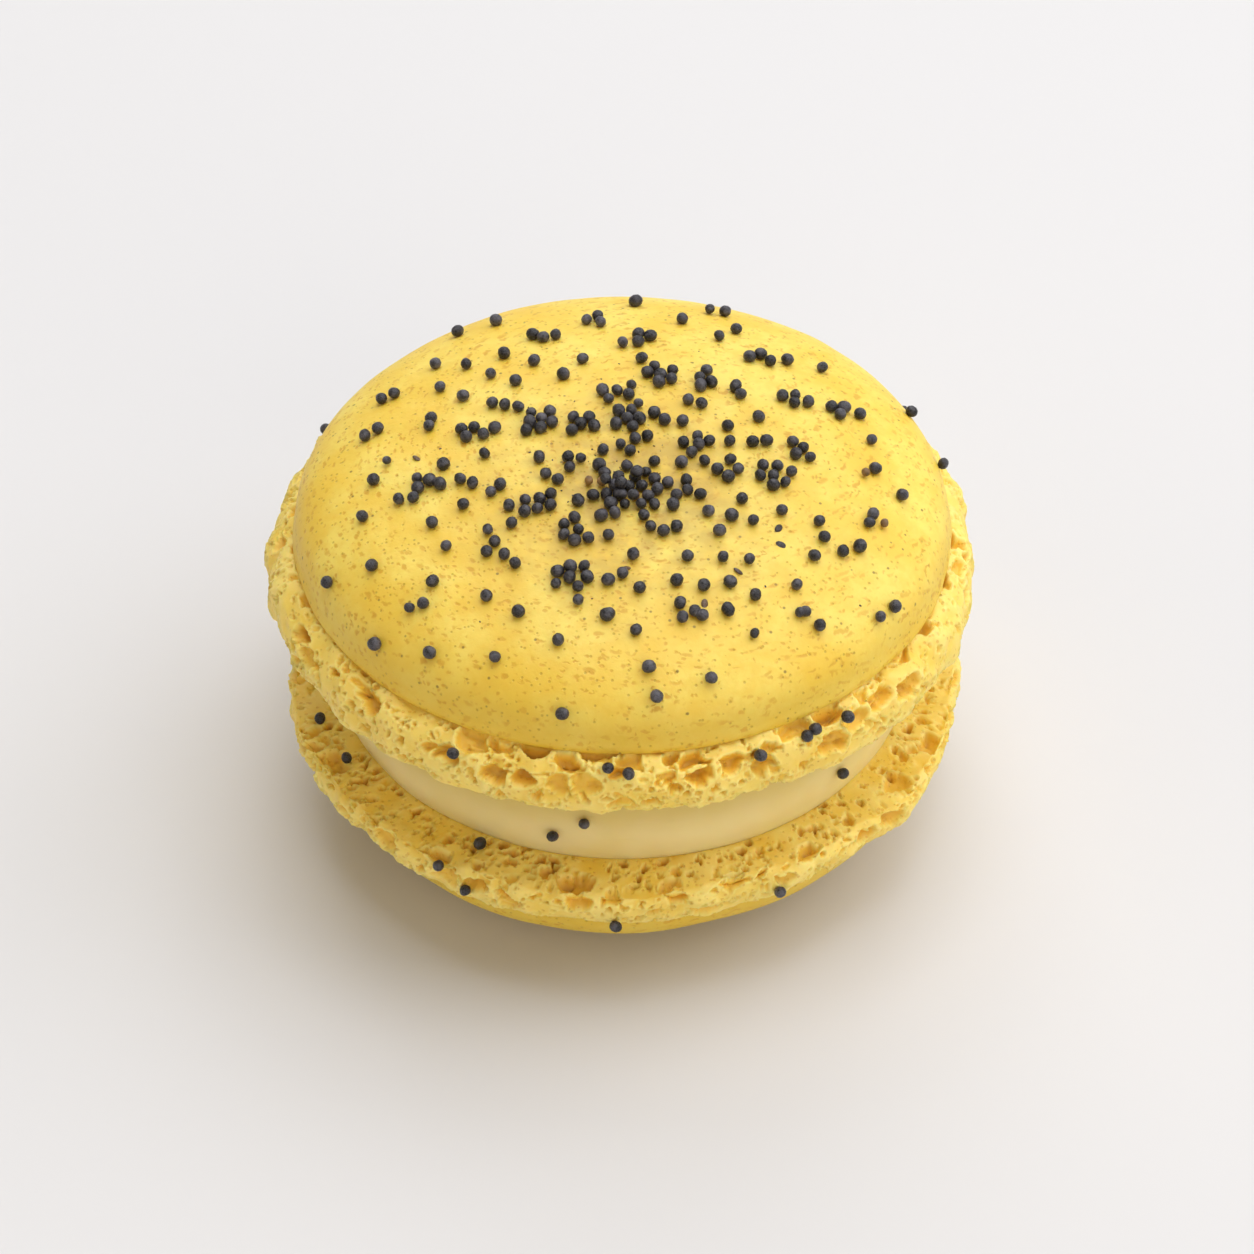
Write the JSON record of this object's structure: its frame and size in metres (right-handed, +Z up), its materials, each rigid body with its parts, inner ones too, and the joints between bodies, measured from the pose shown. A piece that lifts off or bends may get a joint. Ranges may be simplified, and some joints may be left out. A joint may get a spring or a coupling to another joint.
{
  "type": "macaron",
  "caption": "Round filled almond biscuit: two smooth domed shells with ruffled feet, a pale buttercream disc between them and poppy seeds stuck to the outside.",
  "frame": {"origin": "middle of the flat face at the bottom of the lower shell, which the macaron rests on", "axes": "+Z up along the shells' common axis, -Y towards the viewer's side, +X to the right"},
  "size_m": [0.048, 0.048, 0.0297],
  "materials": {
    "baked_meringue": "matt baked almond meringue, yellow, fine pores",
    "buttercream": "smooth satin buttercream, ivory",
    "poppy_seed": "matt blue-grey seed coat"
  },
  "bodies": {
    "root": {"upper_shell": "baked_meringue", "lower_shell": "baked_meringue", "filling": "buttercream", "seed_01": "poppy_seed", "seed_02": "poppy_seed", "seed_03": "poppy_seed", "seed_04": "poppy_seed", "seed_05": "poppy_seed", "seed_06": "poppy_seed", "seed_07": "poppy_seed", "seed_08": "poppy_seed", "seed_09": "poppy_seed", "seed_10": "poppy_seed", "seed_11": "poppy_seed", "seed_12": "poppy_seed", "seed_13": "poppy_seed", "seed_14": "poppy_seed", "seed_15": "poppy_seed", "seed_16": "poppy_seed", "seed_17": "poppy_seed", "seed_18": "poppy_seed", "seed_19": "poppy_seed", "seed_20": "poppy_seed", "seed_21": "poppy_seed", "seed_22": "poppy_seed", "seed_23": "poppy_seed", "seed_24": "poppy_seed", "seed_25": "poppy_seed", "seed_26": "poppy_seed", "seed_27": "poppy_seed", "seed_28": "poppy_seed", "seed_29": "poppy_seed", "seed_30": "poppy_seed", "seed_31": "poppy_seed", "seed_32": "poppy_seed", "seed_33": "poppy_seed", "seed_34": "poppy_seed", "seed_35": "poppy_seed", "seed_36": "poppy_seed", "seed_37": "poppy_seed", "seed_38": "poppy_seed", "seed_39": "poppy_seed", "seed_40": "poppy_seed", "seed_41": "poppy_seed", "seed_42": "poppy_seed", "seed_43": "poppy_seed", "seed_44": "poppy_seed", "seed_45": "poppy_seed", "seed_46": "poppy_seed", "seed_47": "poppy_seed", "seed_48": "poppy_seed", "seed_49": "poppy_seed", "seed_50": "poppy_seed", "seed_51": "poppy_seed", "seed_52": "poppy_seed", "seed_53": "poppy_seed", "seed_54": "poppy_seed", "seed_55": "poppy_seed", "seed_56": "poppy_seed", "seed_57": "poppy_seed"}
  },
  "joints": []
}
